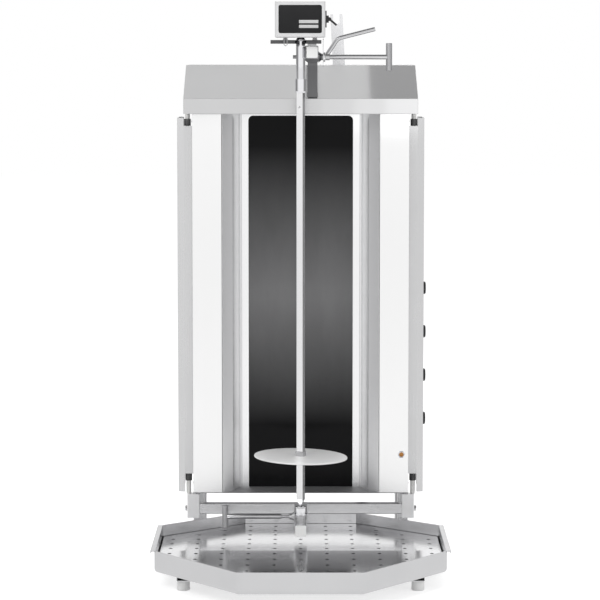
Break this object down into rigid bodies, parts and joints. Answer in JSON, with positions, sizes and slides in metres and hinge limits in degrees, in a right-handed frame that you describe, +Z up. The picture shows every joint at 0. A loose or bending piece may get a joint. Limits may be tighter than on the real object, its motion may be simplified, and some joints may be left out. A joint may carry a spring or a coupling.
{
  "type": "doner kebab grill",
  "caption": "Upright electric grill that roasts meat on a motor-driven spit before a tall heated recess, with sliding arms, folding side wings and an eight-sided drip tray.",
  "frame": {"origin": "on the floor, in the middle of the box that the whole grill fills", "axes": "+X to the right of a person who stands in front of it, +Y to its back, +Z up"},
  "size_m": [0.54, 0.66, 1.05],
  "materials": {
    "stainless_bright": "bright annealed sheet, almost a mirror",
    "stainless_brushed": "fine brushed sheet",
    "stainless_dark": "dull folded sheet and tube",
    "galvanised": "plain plated sheet",
    "chrome": "polished plating",
    "motor_cast": "light satin casting",
    "motor_dark": "dark satin",
    "glass_ceramic": "black glass-ceramic, opaque, gloss",
    "ceramic": "pale fired ceramic",
    "insulation": "pressed fibre board",
    "black_plastic": "black satin plastic",
    "white_plastic": "white plastic",
    "lamp_amber": "clear amber plastic",
    "zinc": "bright zinc plate"
  },
  "bodies": {
    "stand": {"arm_post": "stainless_dark", "back_panel": "galvanised", "cable_gland": "black_plastic", "ceramic_glass": "glass_ceramic", "cross_tube": "stainless_brushed", "floor_rails": "stainless_brushed", "front_panel_left": "stainless_bright", "front_panel_right": "stainless_bright", "heater_tiles": "ceramic", "hinge_bushes": "white_plastic", "hinge_pins": "zinc", "hinge_posts": "stainless_brushed", "hood": "stainless_brushed", "housing_ceiling": "stainless_brushed", "housing_floor": "stainless_brushed", "insulation_board": "insulation", "knob_bezels": "chrome", "lamp_bezel": "chrome", "lamp_lens": "lamp_amber", "levelling_feet": "white_plastic", "lock_plate": "zinc", "lower_socket": "stainless_brushed", "post_bolts": "zinc", "reflector_left": "stainless_bright", "reflector_right": "stainless_bright", "regulators": "zinc", "side_panel_left": "stainless_brushed", "side_panel_right": "stainless_brushed", "spit_fork": "stainless_brushed", "terminal_block": "white_plastic", "upper_collar": "stainless_dark", "uprights": "stainless_brushed", "window_frame": "stainless_bright"},
    "upper_arm": {"upper_arm_tube": "stainless_brushed", "upper_arm_caps": "white_plastic", "motor_plate": "motor_dark", "motor_housing": "motor_cast", "motor_lid": "motor_cast", "gear_motor": "motor_dark", "switch_body": "black_plastic"},
    "lower_arm": {"lower_arm_tube": "stainless_brushed", "lower_arm_cap": "white_plastic", "pivot_cup": "stainless_brushed"},
    "drive": {"drive_tube": "chrome", "drive_collar": "black_plastic"},
    "sleeve": {"coupling_sleeve": "chrome"},
    "spit": {"spit": "stainless_bright"},
    "meat_disc": {"meat_disc": "stainless_bright"},
    "upper_screw": {"upper_clamp_screw": "zinc"},
    "lower_screw": {"lower_clamp_screw": "zinc"},
    "lever": {"clamp_lever": "zinc"},
    "wing_left": {"wing_left": "stainless_brushed"},
    "wing_right": {"wing_right": "stainless_brushed"},
    "knob_1": {"knob_1": "black_plastic"},
    "knob_2": {"knob_2": "black_plastic"},
    "knob_3": {"knob_3": "black_plastic"},
    "knob_4": {"knob_4": "black_plastic"},
    "switch_lever": {"switch_lever": "black_plastic"},
    "drip_tray": {"drip_tray": "stainless_bright"},
    "perforated_plate": {"perforated_plate": "stainless_bright"}
  },
  "joints": [
    {"name": "upper_arm_slide", "type": "slide", "parent": "stand", "child": "upper_arm", "axis": [0, -1, 0], "range_m": [-0.02, 0.03]},
    {"name": "lower_arm_slide", "type": "slide", "parent": "stand", "child": "lower_arm", "axis": [0, -1, 0], "range_m": [-0.02, 0.03]},
    {"name": "drive_spin", "type": "hinge", "parent": "upper_arm", "child": "drive", "pos_m": [0, -0.063, 0.94], "axis": [0, 0, 1], "continuous": true},
    {"name": "sleeve_lift", "type": "slide", "parent": "drive", "child": "sleeve", "axis": [0, 0, 1], "range_m": [0, 0.012]},
    {"name": "spit_spin", "type": "hinge", "parent": "lower_arm", "child": "spit", "pos_m": [0, -0.063, 0.2], "axis": [0, 0, 1], "continuous": true},
    {"name": "disc_slide", "type": "slide", "parent": "spit", "child": "meat_disc", "axis": [0, 0, 1], "range_m": [0, 0.35]},
    {"name": "upper_screw_turn", "type": "hinge", "parent": "stand", "child": "upper_screw", "pos_m": [0.1, 0.062, 0.951], "axis": [1, 0, 0], "continuous": true},
    {"name": "lower_screw_turn", "type": "hinge", "parent": "stand", "child": "lower_screw", "pos_m": [-0.08, 0.062, 0.0895], "axis": [-1, 0, 0], "continuous": true},
    {"name": "lever_turn", "type": "hinge", "parent": "stand", "child": "lever", "pos_m": [0.05, 0.062, 0.951], "axis": [1, 0, 0], "range_deg": [-60, 60]},
    {"name": "wing_right_swing", "type": "hinge", "parent": "stand", "child": "wing_right", "pos_m": [0.214, 0.147, 0.48], "axis": [0, 0, -1], "range_deg": [0, 110]},
    {"name": "wing_left_swing", "type": "hinge", "parent": "stand", "child": "wing_left", "pos_m": [-0.214, 0.147, 0.48], "axis": [0, 0, 1], "range_deg": [0, 110]},
    {"name": "knob_1_turn", "type": "hinge", "parent": "stand", "child": "knob_1", "pos_m": [0.22, 0.262, 0.246], "axis": [-1, 0, 0], "range_deg": [0, 270]},
    {"name": "knob_2_turn", "type": "hinge", "parent": "stand", "child": "knob_2", "pos_m": [0.22, 0.262, 0.3313], "axis": [-1, 0, 0], "range_deg": [0, 270]},
    {"name": "knob_3_turn", "type": "hinge", "parent": "stand", "child": "knob_3", "pos_m": [0.22, 0.262, 0.4166], "axis": [-1, 0, 0], "range_deg": [0, 270]},
    {"name": "knob_4_turn", "type": "hinge", "parent": "stand", "child": "knob_4", "pos_m": [0.22, 0.262, 0.5019], "axis": [-1, 0, 0], "range_deg": [0, 270]},
    {"name": "switch_tilt", "type": "hinge", "parent": "upper_arm", "child": "switch_lever", "pos_m": [0.05163, -0.063, 1.019], "axis": [0, -1, 0], "range_deg": [0, 80]},
    {"name": "tray_slide", "type": "slide", "parent": "stand", "child": "drip_tray", "axis": [0, -1, 0], "range_m": [0, 0.25]},
    {"name": "plate_lift", "type": "slide", "parent": "drip_tray", "child": "perforated_plate", "axis": [0, 0, 1], "range_m": [0, 0.02]}
  ],
  "couplings": [
    {"joint": "lower_arm_slide", "follows": "upper_arm_slide", "ratio": 1},
    {"joint": "drive_spin", "follows": "spit_spin", "ratio": 1}
  ]
}
